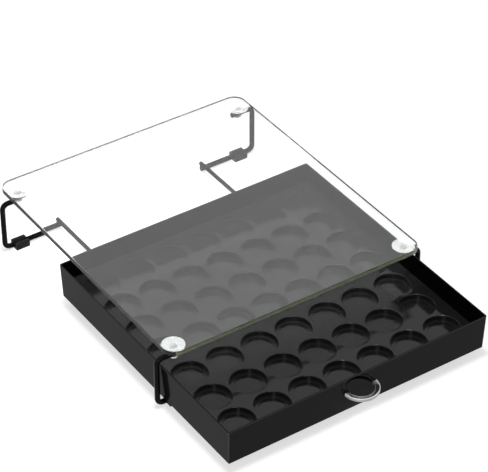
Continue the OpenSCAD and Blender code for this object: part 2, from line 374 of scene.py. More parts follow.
class ShaderGraph(NodeGraph):
    """Nodes of one new material, whose textures lie in the frame's own metres."""

    def __init__(self, name: str) -> None:
        """Start an empty material.

        Args:
            name: The material's name.
        """
        self.material = bpy.data.materials.new(name)
        self.material.use_nodes = True
        super().__init__(self.material.node_tree)
        self.tree.nodes.clear()
        self.output = self.node("ShaderNodeOutputMaterial")
        self.place = self.node("ShaderNodeTexCoord").outputs["Object"]

    def stretched(self, scale: Triple) -> Socket:
        """The coordinates, scaled along each axis."""
        mapping = self.node("ShaderNodeMapping", {"Vector": self.place, "Scale": scale})
        return mapping.outputs["Vector"]

    def noise(
        self,
        size: float,
        detail: float = 2,
        rough: float = 0.5,
        place: Socket | None = None,
    ) -> Socket:
        """Make soft noise.

        Args:
            size: Size of its patches, in millimetres.
            detail: Octaves of finer noise.
            rough: Share of the finer octaves.
            place: Coordinates, where they aren't the frame's own.

        Returns:
            The noise, from 0 to 1.
        """
        inputs = {
            "Vector": place or self.place,
            "Scale": 1 / (size * MM),
            "Detail": detail,
            "Roughness": rough,
        }
        return self.node("ShaderNodeTexNoise", inputs).outputs["Fac"]

    def between(self, share: Socket, first: Colour, second: Colour) -> Socket:
        """Blend two colours, from the first at 0 to the second at 1."""
        inputs = {"Factor": share, "A": first, "B": second}
        return self.node("ShaderNodeMix", inputs, data_type="RGBA").outputs["Result"]

    def bump(self, height: Socket, depth: float, below: Socket | None = None) -> Socket:
        """Bump the surface.

        Args:
            height: Height, from 0 to 1.
            depth: Depth of the relief, in millimetres.
            below: A normal that this one is added to.

        Returns:
            The bumped normal.
        """
        relief = self.node("ShaderNodeBump", {"Height": height, "Distance": depth * MM})
        if below is not None:
            self.feed(relief.inputs["Normal"], below)
        return relief.outputs["Normal"]

    def surface(self, **inputs: object) -> Node:
        """Add the main shader.

        Args:
            **inputs: What its inputs are fed with, by name with _ for a space.

        Returns:
            The shader node.
        """
        named = {name.replace("_", " "): value for name, value in inputs.items()}
        shader = self.node("ShaderNodeBsdfPrincipled", named)
        self.feed(self.output.inputs["Surface"], shader.outputs["BSDF"])
        return shader

    def pass_light(self, shader: Node) -> None:
        """Let lamps shine straight through, so that a clear piece casts no dark shadow.

        Args:
            shader: The clear shader.
        """
        rays = self.node("ShaderNodeLightPath").outputs
        clear = self.node("ShaderNodeBsdfTransparent").outputs
        inputs = {0: rays["Is Shadow Ray"], 1: shader.outputs["BSDF"], 2: clear["BSDF"]}
        either = self.node("ShaderNodeMixShader", inputs)
        self.feed(self.output.inputs["Surface"], either.outputs["Shader"])

    def absorb(self, colour: Colour, density: float) -> None:
        """Tint light by the length of its way through the material.

        Args:
            colour: The colour that is let through.
            density: Absorption in a metre.
        """
        inputs = {"Color": colour, "Density": density}
        volume = self.node("ShaderNodeVolumeAbsorption", inputs)
        self.feed(self.output.inputs["Volume"], volume.outputs["Volume"])


@dataclass(frozen=True)
class Finish(ABC):
    """A finish: colours, gloss from smooth to dull, and relief by size and depth."""

    name: str

    def make(self) -> Material:
        """Build the finish's material.

        Returns:
            The new material.
        """
        graph = ShaderGraph(self.name)
        self.lay(graph)
        return graph.material

    @abstractmethod
    def lay(self, graph: ShaderGraph) -> None:
        """Lay the finish's nodes in an empty material."""


@dataclass(frozen=True)
class MouldedPlastic(Finish):
    """Injection-moulded black plastic, with a fine spark-eroded grain."""

    light: Colour = (0.0128, 0.0128, 0.0123)
    dark: Colour = (0.0088, 0.0088, 0.0085)
    cloud_size: float = 60
    smooth: float = 0.07
    dull: float = 0.15
    haze_size: float = 9
    refraction: float = 1.09
    wave_size: float = 34
    wave_depth: float = 0.012
    grain_size: float = 0.5
    grain_depth: float = 0.004

    def lay(self, graph: ShaderGraph) -> None:
        """Lay mottled black with soft waves under the grain.

        Args:
            graph: The graph of the new material.
        """
        cloud = graph.noise(self.cloud_size, detail=3)
        haze = graph.noise(self.haze_size, detail=4, rough=0.6)
        wave = graph.bump(graph.noise(self.wave_size, detail=1), self.wave_depth)
        grain = graph.bump(graph.noise(self.grain_size), self.grain_depth, wave)
        graph.surface(
            Base_Color=graph.between(cloud, self.dark, self.light),
            Roughness=graph.spread(haze, self.smooth, self.dull),
            Normal=grain,
            IOR=self.refraction,
        )


@dataclass(frozen=True)
class CoatedWire(Finish):
    """Steel wire with a thick glossy black coat."""

    name: str = "black_wire"
    light: Colour = (0.0045, 0.0045, 0.0045)
    dark: Colour = (0.0022, 0.0022, 0.0022)
    tint_size: float = 14
    smooth: float = 0.03
    dull: float = 0.07
    gloss_size: float = 5
    refraction: float = 1.15
    peel_size: float = 2.4
    peel_depth: float = 0.006

    def lay(self, graph: ShaderGraph) -> None:
        """Lay a mottled coat with a fine peel.

        Args:
            graph: The graph of the new material.
        """
        tint = graph.noise(self.tint_size, detail=3)
        gloss = graph.noise(self.gloss_size, detail=3)
        graph.surface(
            Base_Color=graph.between(tint, self.dark, self.light),
            Roughness=graph.spread(gloss, self.smooth, self.dull),
            Normal=graph.bump(graph.noise(self.peel_size), self.peel_depth),
            IOR=self.refraction,
        )


@dataclass(frozen=True)
class SoftRubber(Finish):
    """Matt black rubber with a dusty bloom."""

    name: str = "rubber_foot"
    light: Colour = (0.006, 0.006, 0.006)
    dark: Colour = (0.002, 0.002, 0.002)
    bloom_size: float = 3
    smooth: float = 0.3
    dull: float = 0.5
    refraction: float = 1.22
    grain_size: float = 0.35
    grain_depth: float = 0.02

    def lay(self, graph: ShaderGraph) -> None:
        """Lay the bloom over a fine grain.

        Args:
            graph: The graph of the new material.
        """
        bloom = graph.noise(self.bloom_size, detail=5, rough=0.65)
        grain = graph.noise(self.grain_size, detail=3)
        graph.surface(
            Base_Color=graph.between(bloom, self.dark, self.light),
            Roughness=graph.spread(bloom, self.smooth, self.dull),
            Normal=graph.bump(grain, self.grain_depth),
            IOR=self.refraction,
        )


@dataclass(frozen=True)
class FloatGlass(Finish):
    """Toughened float glass, with the green of its iron in the depth."""

    name: str = "glass_sheet"
    bare: Colour = (1.0, 1.0, 1.0)
    wiped: Colour = (0.99, 0.995, 0.99)
    wipe_size: float = 70
    refraction: float = 1.52
    let_through: Colour = (0.50, 0.74, 0.55)
    density: float = 6

    def lay(self, graph: ShaderGraph) -> None:
        """Lay the two large faces, and the tint inside.

        Args:
            graph: The graph of the new material.
        """
        wipe = graph.noise(self.wipe_size, detail=3)
        sheet = graph.surface(
            Base_Color=graph.between(wipe, self.wiped, self.bare),
            Roughness=0.0,
            IOR=self.refraction,
            Transmission_Weight=1.0,
        )
        graph.pass_light(sheet)
        graph.absorb(self.let_through, self.density)


@dataclass(frozen=True)
class GroundEdge(Finish):
    """The same glass where its edge is ground and half polished."""

    name: str = "glass_edge"
    light: Colour = (0.43, 0.49, 0.32)
    dark: Colour = (0.31, 0.36, 0.23)
    streak_size: float = 2.5
    streak_scale: Triple = (0.2, 0.2, 3)
    smooth: float = 0.18
    dull: float = 0.36
    refraction: float = 1.52
    clear: float = 0.35
    grain_size: float = 0.8
    grain_depth: float = 0.02

    def lay(self, graph: ShaderGraph) -> None:
        """Lay streaks along the edge over a fine grain.

        Args:
            graph: The graph of the new material.
        """
        along = graph.stretched(self.streak_scale)
        streak = graph.noise(self.streak_size, detail=4, place=along)
        grain = graph.noise(self.grain_size, detail=3)
        graph.surface(
            Base_Color=graph.between(streak, self.dark, self.light),
            Roughness=graph.spread(streak, self.smooth, self.dull),
            IOR=self.refraction,
            Transmission_Weight=self.clear,
            Normal=graph.bump(grain, self.grain_depth),
        )
        graph.absorb(FloatGlass().let_through, FloatGlass().density)


@dataclass(frozen=True)
class ClearMoulding(Finish):
    """Clear moulded plastic, such as vinyl or acrylic."""

    colour: Colour
    clear: float
    refraction: float = 1.46
    smooth: float = 0.01
    dull: float = 0.05
    flow_size: float = 6
    ripple_size: float = 3
    ripple_depth: float = 0.02

    def lay(self, graph: ShaderGraph) -> None:
        """Lay a clear body with flow marks and ripples.

        Args:
            graph: The graph of the new material.
        """
        flow = graph.noise(self.flow_size, detail=3)
        ripple = graph.noise(self.ripple_size, detail=1)
        moulding = graph.surface(
            Base_Color=self.colour,
            Roughness=graph.spread(flow, self.smooth, self.dull),
            IOR=self.refraction,
            Transmission_Weight=self.clear,
            Normal=graph.bump(ripple, self.ripple_depth),
        )
        graph.pass_light(moulding)


@dataclass(frozen=True)
class ZincPlate(Finish):
    """Bright zinc plate on a small turned part."""

    name: str = "screw_steel"
    light: Colour = (0.46, 0.46, 0.47)
    dark: Colour = (0.34, 0.34, 0.35)
    spot_size: float = 0.9
    smooth: float = 0.18
    dull: float = 0.34
    grain_size: float = 0.25
    grain_depth: float = 0.01

    def lay(self, graph: ShaderGraph) -> None:
        """Lay spotted metal with a fine grain.

        Args:
            graph: The graph of the new material.
        """
        spots = graph.noise(self.spot_size, detail=4)
        graph.surface(
            Base_Color=graph.between(spots, self.dark, self.light),
            Metallic=1.0,
            Roughness=graph.spread(spots, self.smooth, self.dull),
            Normal=graph.bump(graph.noise(self.grain_size), self.grain_depth),
        )


def built(finishes: Mapping[Part, Finish]) -> list[Material]:
    """Build the materials of a piece's parts, in the order of its slots."""
    return [finishes[part].make() for part in sorted(finishes)]


def dress(target: Object, *materials: Material) -> None:
    """Give an object its materials.

    Args:
        target: The object.
        *materials: The materials, in the order of its slots.
    """
    slots = target.data.materials
    while len(slots) > len(materials):
        slots.pop()
    for i, material in enumerate(materials):
        if i < len(slots):
            slots[i] = material
        else:
            slots.append(material)


# ---- Stand ----------------------------------------------------------------------


class SheetPart(IntEnum):
    """Parts of the glass sheet that have a finish of their own; the side and rear edges
    are darker copies of the front edge's finish, as painted shade.
    """

    FACE = 0
    FRONT_EDGE = 1
    SIDE_EDGE = 2
    REAR_EDGE = 3


SHEET_FINISHES: dict[SheetPart, Finish] = {
    SheetPart.FACE: FloatGlass(),
    SheetPart.FRONT_EDGE: GroundEdge(),
    # The side edges: the same ground edge, painted near black and opaque as painted
    # shade.
    SheetPart.SIDE_EDGE: GroundEdge(
        "glass_edge_side",
        light=(0.040, 0.046, 0.034),
        dark=(0.012, 0.014, 0.010),
        refraction=1.22,
        clear=0.0,
    ),
    # The rear edges: the same ground edge, painted darker and nearly opaque as painted
    # shade.
    SheetPart.REAR_EDGE: GroundEdge(
        "glass_edge_rear",
        light=(0.16, 0.17, 0.14),
        dark=(0.08, 0.085, 0.07),
        refraction=1.3,
        clear=0.1,
    ),
}


@dataclass
class GlassTop:
    """The sheet of glass, with rounded corners and a ground edge."""

    corner: float = 15
    corner_steps: int = 16
    arris: float = 0.9
    arris_steps: int = 4
    edge_reach: float = 0.5
    """Share of the corner's radius up to which an edge counts as side or rear."""
    crease: float = 25

    def outline(self, inset: float, height: float) -> list[Vector]:
        """Lay one loop round the sheet.

        Args:
            inset: How far it stands in from the sheet's edge.
            height: Its height over the sheet's underside.

        Returns:
            The loop's points, in metres.
        """
        low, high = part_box("glass_top")
        wide = (high.x - low.x) / 2 / MM - inset
        deep = (high.y - low.y) / 2 / MM - inset
        corners = rectangle((-wide, -deep), (wide, deep), self.corner - inset)
        centre = middle("glass_top")
        return [
            Vector((centre.x + x * MM, centre.y + y * MM, low.z + height * MM))
            for x, y in fillet(corners, self.corner_steps)
        ]

    def sheet(self) -> Object:
        """Build the sheet's mesh.

        Returns:
            The sheet, with a part's number on each face.
        """
        low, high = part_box("glass_top")
        thick = (high.z - low.z) / MM
        lower = []
        for k in range(self.arris_steps + 1):
            turn = math.pi / 2 * k / self.arris_steps
            inset = self.arris * (1 - math.sin(turn))
            lower.append((inset, self.arris * (1 - math.cos(turn))))
        upper = [(inset, thick - height) for inset, height in reversed(lower)]
        loops = [self.outline(inset, height) for inset, height in lower + upper]
        first, last = low.z + self.arris * MM, high.z - self.arris * MM
        reach = self.corner * self.edge_reach * MM
        form = bmesh.new()
        for face in loft(form, loops):
            place = face.calc_center_median()
            if not first < place.z < last:
                continue
            # Side and rear edge faces take their darker, painted-shade finishes.
            if abs(place.x) > high.x - reach:
                face.material_index = SheetPart.SIDE_EDGE
            elif place.y > high.y - reach:
                face.material_index = SheetPart.REAR_EDGE
            else:
                face.material_index = SheetPart.FRONT_EDGE
        return as_object("glass_sheet", form)

    def build(self) -> list[Object]:
        """Build the sheet and dress it.

        Returns:
            The new pieces.
        """
        sheet = self.sheet()
        keep_creases(sheet, self.crease)
        dress(sheet, *built(SHEET_FINISHES))
        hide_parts("glass_top")
        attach(sheet, "stand")
        return [sheet]


class CupPart(IntEnum):
    """Parts of a cup that have a finish of their own."""

    SKIRT = 0
    KNOB = 1


CUP_FINISHES: dict[CupPart, Finish] = {
    CupPart.SKIRT: ClearMoulding("clear_vinyl", (0.92, 0.93, 0.93), clear=0.76),
    # The knob's vinyl is painted darker than the skirt's, as painted shade, so that the
    # knob reads dark under the glass.
    CupPart.KNOB: ClearMoulding("clear_vinyl_thick", (0.80, 0.81, 0.81), clear=0.99),
}


@dataclass
class SuctionCups:
    """Four clear cups, each a thin skirt, a neck and a knob with a cross hole."""

    rise: float = 8.6
    """Height of the glass over the middle of the knob."""
    film: float = 0.05
    """Gap that is left under the glass."""

    knob: float = 4.9
    knob_tall: float = 8.8
    knob_foot_round: float = 2.2
    knob_top_round: float = 1.6
    knob_finish_over: float = 1
    # How far the knob's darker, painted-shade finish goes on above it.
    """How far the knob's finish goes on above it."""

    neck: float = 4.0
    neck_over: float = 0.5
    neck_round: float = 0.4
    flare: float = 0.3
    flare_over: float = 1.2
    flare_round: float = 1.0

    skirt: float = 12.5
    skirt_bend_in: float = 3
    skirt_bend_drop: float = 0.9
    skirt_bend_round: float = 3.0
    rim: float = 0.7
    rim_foot_round: float = 0.2
    rim_top_round: float = 0.25
    lip: float = 1.0
    lip_round: float = 0.3

    hollow: float = 1.5
    hollow_bend_in: float = 3.4
    hollow_bend_drop: float = 0.75
    hollow_bend_round: float = 3.0

    fans: int = 4
    fan_deep: float = 0.34
    fan_from: float = 3
    fan_margin: float = 1.6
    fan_top_margin: float = 0.4
    fan_floor_margin: float = 0.02

    wire: float = 2.95
    hole_past: float = 2
    """How far the hole's cutter stands out of the knob."""

    arc_steps: int = 6
    spokes: int = 72
    hole_spokes: int = 36

    def outline(self) -> list[Point]:
        """Draw half the section, from the knob's foot round to the hollow's middle.

        Returns:
            Its points as (radius, height over the knob's middle).
        """
        head = self.knob_tall / 2
        top = self.rise - self.film
        bend = top - self.rim - self.skirt_bend_drop
        flesh = [
            (0, -head, 0),
            (self.knob, -head, self.knob_foot_round),
            (self.knob, head, self.knob_top_round),
            (self.neck, head + self.neck_over, self.neck_round),
            (self.neck + self.flare, head + self.flare_over, self.flare_round),
            (self.skirt - self.skirt_bend_in, bend, self.skirt_bend_round),
            (self.skirt, top - self.rim, self.rim_foot_round),
            (self.skirt, top, self.rim_top_round),
            (self.skirt - self.lip, top, self.lip_round),
            (
                self.skirt - self.hollow_bend_in,
                top - self.hollow_bend_drop,
                self.hollow_bend_round,
            ),
            (0, top - self.hollow, 0),
        ]
        return fillet(flesh, self.arc_steps, closed=False)

    def hole_outline(self) -> list[Point]:
        """Draw half the section of the cutter for the cross hole."""
        reach = self.knob + self.hole_past
        return [(0, -reach), (self.wire, -reach), (self.wire, reach), (0, reach)]

    def cup(self, node: str) -> Object:
        """Build one cup.

        Args:
            node: The node that it replaces.

        Returns:
            The cup, with a part's number on each face.
        """
        _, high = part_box(node)
        centre = middle(node)
        axis = Vector((centre.x, centre.y, high.z - self.rise * MM))
        cup = lathe(f"clear_{node}", self.outline(), axis, self.spokes)
        hole = lathe("hole", self.hole_outline(), Vector(), self.hole_spokes)
        hole.rotation_euler.y = math.pi / 2
        hole.location = axis
        bore(cup, hole)
        self.fan(cup, axis)
        knob_end = axis.z + (self.knob_tall / 2 + self.knob_finish_over) * MM
        for face in cup.data.polygons:
            above = face.center.z > knob_end
            face.material_index = CupPart.SKIRT if above else CupPart.KNOB
        return cup

    def fan(self, cup: Object, axis: Vector) -> None:
        """Wave the hollow's shoulder up and down, so that it catches light in a fan.

        Args:
            cup: The cup.
            axis: The middle of its knob, in metres.
        """
        top = axis.z + (self.rise - self.film) * MM
        floor = top - (self.hollow - self.fan_floor_margin) * MM
        outer = (self.skirt - self.fan_margin) * MM
        for vert in cup.data.vertices:
            out = (vert.co - axis).to_2d()
            on_shoulder = self.fan_from * MM < out.length < outer
            if on_shoulder and floor < vert.co.z < top - self.fan_top_margin * MM:
                turn = math.atan2(out.y, out.x)
                vert.co.z += self.fan_deep * math.sin(self.fans * turn) * MM

    def build(self) -> list[Object]:
        """Build the four cups and dress them.

        Returns:
            The new pieces.
        """
        materials = built(CUP_FINISHES)
        cups = []
        for row, side in CORNERS:
            node = at_corner("cup", row, side)
            cup = self.cup(node)
            keep_creases(cup)
            dress(cup, *materials)
            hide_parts(node)
            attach(cup, "stand")
            cups.append(cup)
        return cups


@dataclass
class WireStand:
    """Bent legs and straight rails, with a weld bead where they cross."""

    wire: float = 6.0
    sink: float = 0.2
    bead_long: float = 3.4
    bead_tall: float = 1.9
    bead_fineness: int = 4
    waist: float = 0.82
    swell: float = 0.18
    lump_deep: float = 0.05
    lumps_round: int = 5
    lumps_up: int = 7
    lump_shift: float = 1.7
    """Turn of the lumps from one corner's bead to the next, in radians."""

    def bead(self, row: Row, side: Side) -> Object:
        """Build the bead between a leg's ground run and the rail on it.

        Args:
            row: The leg's row.
            side: The leg's side.

        Returns:
            The bead.
        """
        leg = at_corner("leg", row, side)
        place = middle(f"rail_{side.word}")
        place.y = middle(leg).y
        place.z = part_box(leg)[0].z + (self.wire - self.sink / 2) * MM
        shift = CORNERS.index((row, side)) * self.lump_shift
        form = bmesh.new()
        bmesh.ops.create_icosphere(form, subdivisions=self.bead_fineness, radius=1)
        for vert in form.verts:
            x, y, z = vert.co
            turn = math.atan2(y, x)
            # pulled into the four crooks between the two wires, and slightly lumpy
            crook = self.waist + self.swell * abs(math.sin(2 * turn)) * (1 - abs(z))
            wave = math.sin(self.lumps_round * turn + self.lumps_up * z + shift)
            wide = self.bead_long * crook * (1 + self.lump_deep * wave) * MM
            vert.co = Vector((x * wide, y * wide, z * self.bead_tall * MM)) + place
        return as_object(at_corner("weld", row, side), form)

    def build(self) -> list[Object]:
        """Build the weld beads, and dress them, the legs and the rails.

        Returns:
            The new pieces.
        """
        wire = CoatedWire().make()
        nodes = [at_corner("leg", row, side) for row, side in CORNERS]
        nodes += [f"rail_{side.word}" for side in Side]
        for node in nodes:
            dress(bpy.data.objects[node], wire)
        beads = []
        for row, side in CORNERS:
            bead = self.bead(row, side)
            dress(bead, wire)
            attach(bead, "stand")
            beads.append(bead)
        return beads


@dataclass
class RubberFeet:
    """Four channel feet that snap up round the legs' ground runs.

    The wire is the channel's radius, and the mouth half the width of its slot.
    """

    bevel: float = 0.9
    lead: float = 0.5
    arc_steps: int = 4
    wire: float = 2.98
    axis: float = 5.1
    mouth: float = 2.5
    mouth_deep: float = 1.1
    channel_steps: int = 20
    end_round: float = 0.6
    end_steps: int = 3
    end_sharp: float = 60
    crease: float = 40

    def section(self, half: float, tall: float) -> list[Point]:
        """Draw the section across a foot.

        Args:
            half: Half of the foot's width.
            tall: The foot's height.

        Returns:
            Its closed outline, with the wire's channel open upwards.
        """
        right = [
            (self.mouth, tall - self.mouth_deep, 0),
            (self.mouth, tall, self.lead),
            (half, tall, self.bevel),
            (half, 0, self.bevel),
        ]
        left = [(-x, y, radius) for x, y, radius in reversed(right)]
        outer = fillet(right + left, self.arc_steps, closed=False)
        start = math.acos(self.mouth / self.wire)
        channel = []
        for k in range(self.channel_steps + 1):
            swept = (math.pi + 2 * start) * k / self.channel_steps
            turn = math.pi - start + swept
            across = self.wire * math.cos(turn)
            channel.append((across, self.axis + self.wire * math.sin(turn)))
        return outer + channel

    def foot(self, node: str) -> Object:
        """Build one foot.

        Args:
            node: The node that it replaces.

        Returns:
            The foot, with its ends rounded.
        """
        low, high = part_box(node)
        centre = middle(node)
        flat = self.section((high.y - low.y) / 2 / MM, (high.z - low.z) / MM)
        form = bmesh.new()
        loops = [
            [Vector((x, centre.y + a * MM, low.z + b * MM)) for a, b in flat]
            for x in (low.x, high.x)
        ]
        loft(form, loops)
        foot = as_object(f"rubber_{node}", form)
        ends = foot.modifiers.new("ends", "BEVEL")
        ends.width = self.end_round * MM
        ends.segments = self.end_steps
        ends.angle_limit = math.radians(self.end_sharp)
        bake(foot)
        return foot

    def build(self) -> list[Object]:
        """Build the feet and dress them.

        Returns:
            The new pieces.
        """
        rubber = SoftRubber().make()
        feet = []
        for row, side in CORNERS:
            node = at_corner("foot", row, side)
            foot = self.foot(node)
            keep_creases(foot, self.crease)
            dress(foot, rubber)
            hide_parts(node)
            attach(foot, "stand")
            feet.append(foot)
        return feet


# ---- Drawer ---------------------------------------------------------------------


class TrayPart(IntEnum):
    """Parts of the tray that have a finish of their own."""

    SHELL = 0
    RUBBED = 1
    INSIDE = 2
    FRONT = 3


TRAY_FINISHES: dict[TrayPart, Finish] = {
    TrayPart.SHELL: MouldedPlastic("drawer_plastic"),
    # Corners, rim and eased edges: the same plastic painted lighter, as a painted
    # highlight line along them.
    TrayPart.RUBBED: MouldedPlastic(
        "drawer_plastic_edge",
        light=(0.034, 0.034, 0.033),
        dark=(0.022, 0.022, 0.021),
        smooth=0.1,
        dull=0.2,
        refraction=1.3,
    ),
    # Inner faces: the same plastic painted near black, as painted shade inside the
    # tray.
    TrayPart.INSIDE: MouldedPlastic(
        "drawer_plastic_inside",
        light=(0.0014, 0.0014, 0.0013),
        dark=(0.0008, 0.0008, 0.0008),
        smooth=0.04,
        dull=0.1,
        refraction=1.08,
    ),
    # The front wall: a smoother copy of the plastic, its colour painted darker than the
    # sides' as painted shade.
    TrayPart.FRONT: MouldedPlastic(
        "drawer_plastic_front",
        light=(0.0014, 0.0014, 0.0013),
        dark=(0.0008, 0.0008, 0.0008),
        smooth=0.015,
        dull=0.04,
        refraction=1.15,
        wave_depth=0.004,
        grain_depth=0.001,
    ),
}

WELLS_FINISH = MouldedPlastic(
    "insert_plastic",
    light=(0.010, 0.010, 0.010),
    dark=(0.006, 0.006, 0.006),
    smooth=0.085,
    dull=0.12,
    refraction=1.36,
)


@dataclass
class Drawer:
    """The moulded tray, its front glossier than its sides and painted darker as shade,
    with its insert of wells.

    The last four numbers sort the faces by their normals.
    """

    edge: float = 0.3
    edge_steps: int = 2
    edge_sharp: float = 28
    flat_within: float = 0.5
    crease: float = 40
    inward: float = -0.001
    askew: float = 0.15
    rising: float = 0.3
    square: float = 0.95

    def part_of(self, face: Face, hub: Vector) -> TrayPart:
        """Tell which part of the tray a face belongs to.

        Args:
            face: The face.
            hub: The tray's middle, in metres.

        Returns:
            The part.
        """
        out = face.calc_center_median() - hub
        # Inner faces take the painted-shade finish.
        if face.normal.xy.dot(out.xy) < self.inward:
            return TrayPart.INSIDE
        # The front takes its darker, painted-shade finish.
        if face.normal.y < -self.square:
            return TrayPart.FRONT
        # Corners and rim take the painted-highlight finish.
        corner = min(abs(face.normal.x), abs(face.normal.y)) > self.askew
        rim = self.rising < face.normal.z < self.square
        return TrayPart.RUBBED if corner or rim else TrayPart.SHELL

    def tray(self) -> Object:
        """Build the tray with its moulded edges eased, so that they catch the light,
        and painted lighter as a highlight line.

        Returns:
            The tray, with a part's number on each face.
        """
        form = bmesh.new()
        form.from_mesh(bpy.data.objects["drawer_tray"].data)
        bmesh.ops.remove_doubles(form, verts=form.verts, dist=NEARLY_NONE)
        bmesh.ops.dissolve_limit(
            form,
            angle_limit=math.radians(self.flat_within),
            verts=form.verts,
            edges=form.edges,
        )
        hub = middle("drawer_tray")
        for face in form.faces:
            face.material_index = self.part_of(face, hub)
        tray = as_object("moulded_tray", form)
        eased = tray.modifiers.new("eased", "BEVEL")
        eased.width = self.edge * MM
        eased.segments = self.edge_steps
        eased.limit_method = "ANGLE"
        eased.angle_limit = math.radians(self.edge_sharp)
        eased.use_clamp_overlap = True
        # The eased edges take the painted-highlight finish.
        eased.material = TrayPart.RUBBED
        bake(tray)
        return tray

    def build(self) -> list[Object]:
        """Build the tray, and dress it and the insert.

        Returns:
            The new pieces.
        """
        tray = self.tray()
        keep_creases(tray, self.crease)
        dress(tray, *built(TRAY_FINISHES))
        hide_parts("drawer_tray")
        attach(tray, "drawer")
        dress(bpy.data.objects["pod_insert"], WELLS_FINISH.make())
        return [tray]


class RingPart(IntEnum):
    """Parts of the pull's ring that have a finish of their own."""

    FACE = 0
    OUTER_WALL = 1
    INNER_WALL = 2
    UPPER_ARRIS = 3


RING_FINISHES: dict[RingPart, Finish] = {
    RingPart.FACE: ClearMoulding(
        "clear_acrylic",
        colour=(0.985, 0.99, 0.99),
        clear=1.0,
        refraction=1.49,
        smooth=0.0,
        dull=0.02,
        ripple_depth=0.004,
    ),
    RingPart.OUTER_WALL: ClearMoulding(
        "satin_acrylic",
        colour=(0.90, 0.91, 0.92),
        clear=0.55,
        refraction=1.49,
        smooth=0.28,
        dull=0.42,
    ),
    # The inner wall: painted dark grey and nearly opaque, as painted shade on the clear
    # ring.
    RingPart.INNER_WALL: ClearMoulding(
        "satin_acrylic_inside",
        colour=(0.12, 0.125, 0.13),
        clear=0.1,
        refraction=1.49,
        smooth=0.2,
        dull=0.35,
        ripple_depth=0.01,
    ),
    # The upper outer arris: frosted, and painted near-white and nearly opaque as a
    # painted highlight line.
    RingPart.UPPER_ARRIS: ClearMoulding(
        "frosted_acrylic",
        colour=(0.98, 0.98, 0.98),
        clear=0.1,
        refraction=1.49,
        smooth=0.3,
        dull=0.45,
    ),
}


@dataclass
class PullHandle:
    """Half ring of clear acrylic, with polished faces, satin walls and a frosted upper
    arris, its inner wall painted dark as shade and its upper arris painted near-white
    as a highlight.

    Each finish reaches a share of the arris's width from its wall.
    """

    wide: float = 5.2
    arris: float = 0.6
    arris_steps: int = 4
    spokes: int = 96
    inner_reach: float = 0.9
    upper_reach: float = 0.95
    outer_reach: float = 0.6

    def ring(self) -> Object:
        """Build the half ring's mesh.

        Returns:
            The ring, with a part's number on each face.
        """
        low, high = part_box("handle")
        outer = (high.x - low.x) / 2 / MM
        inner, half = outer - self.wide, (high.z - low.z) / 2 / MM
        corners = rectangle((inner, -half), (outer, half), self.arris)
        flat = fillet(corners, self.arris_steps)
        hub = Vector((middle("handle").x, low.y + outer * MM, middle("handle").z))
        form = bmesh.new()
        loops = []
        for k in range(self.spokes + 1):
            turn = math.pi * k / self.spokes
            along = Vector((math.cos(turn), -math.sin(turn), 0))
            loops.append([hub + (along * r + Vector((0, 0, z))) * MM for r, z in flat])
        upper = high.z / MM - hub.z / MM - self.arris * self.upper_reach
        for face in loft(form, loops):
            away = face.calc_center_median() - hub
            out, up = away.xy.length / MM, away.z / MM
            if out < inner + self.arris * self.inner_reach:
                face.material_index = RingPart.INNER_WALL
            elif out > outer - self.arris * self.upper_reach and up > upper:
                face.material_index = RingPart.UPPER_ARRIS
            elif out > outer - self.arris * self.outer_reach:
                face.material_index = RingPart.OUTER_WALL
        return as_object("acrylic_handle", form)

    def build(self) -> list[Object]:
        """Build the half ring and dress it.

        Returns:
            The new pieces.
        """
        ring = self.ring()
        keep_creases(ring)
        dress(ring, *built(RING_FINISHES))
        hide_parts("handle")
        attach(ring, "drawer")
        return [ring]


